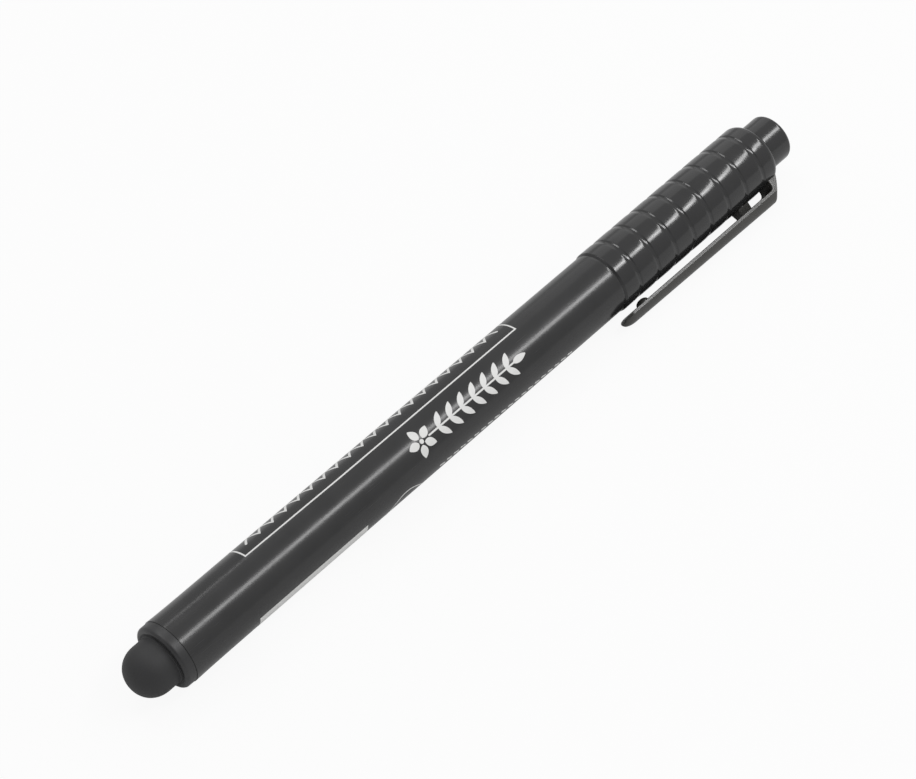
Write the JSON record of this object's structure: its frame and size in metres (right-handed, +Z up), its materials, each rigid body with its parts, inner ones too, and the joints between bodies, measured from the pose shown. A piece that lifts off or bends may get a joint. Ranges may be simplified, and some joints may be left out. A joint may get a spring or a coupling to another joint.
{
  "type": "fabric marker",
  "caption": "Capped felt-tip marker for cloth: round barrel with a rubber dome end, ribbed cap with pocket clip, fibre nib and ink core inside.",
  "frame": {"origin": "on the table, under the middle of the marker's bounding box", "axes": "+X along the marker from the rubber dome to the cap's plug, +Z up from the table; the marker lies on its side with the clip on the -Y side resting on the table"},
  "size_m": [0.142, 0.013, 0.0109],
  "materials": {
    "barrel_plastic": "gloss black",
    "collar_plastic": "satin black",
    "rubber": "matte black",
    "cap_plastic": "gloss black",
    "clip_plastic": "semi-gloss black",
    "holder_plastic": "satin black",
    "felt": "ink-soaked felt",
    "fibre": "bonded fibre",
    "film": "thin clear film",
    "liner_plastic": "natural white"
  },
  "bodies": {
    "barrel": {"barrel": "barrel_plastic", "end_plug": "collar_plastic", "rubber_dome": "rubber", "ink_reservoir": "fibre", "reservoir_film": "film", "nib_holder": "holder_plastic", "nib": "felt"},
    "cap_liner": {"inner_cap": "liner_plastic"},
    "cap": {"cap_shell": "cap_plastic", "cap_plug": "cap_plastic"},
    "clip": {"clip": "clip_plastic"}
  },
  "joints": [
    {"name": "cap_pull", "type": "slide", "parent": "barrel", "child": "cap_liner", "axis": [1, 0, 0], "range_m": [0, 0.045]},
    {"name": "cap_turn", "type": "hinge", "parent": "cap_liner", "child": "cap", "pos_m": [0.02885, 0.001, 0.00546], "axis": [1, 0, 0], "continuous": true},
    {"name": "clip_flex", "type": "hinge", "parent": "cap", "child": "clip", "pos_m": [0.06473, -0.00264, 0.00326], "axis": [0, -0.518, 0.8554], "range_deg": [0, 4], "stiffness_Nm_per_rad": 1}
  ]
}
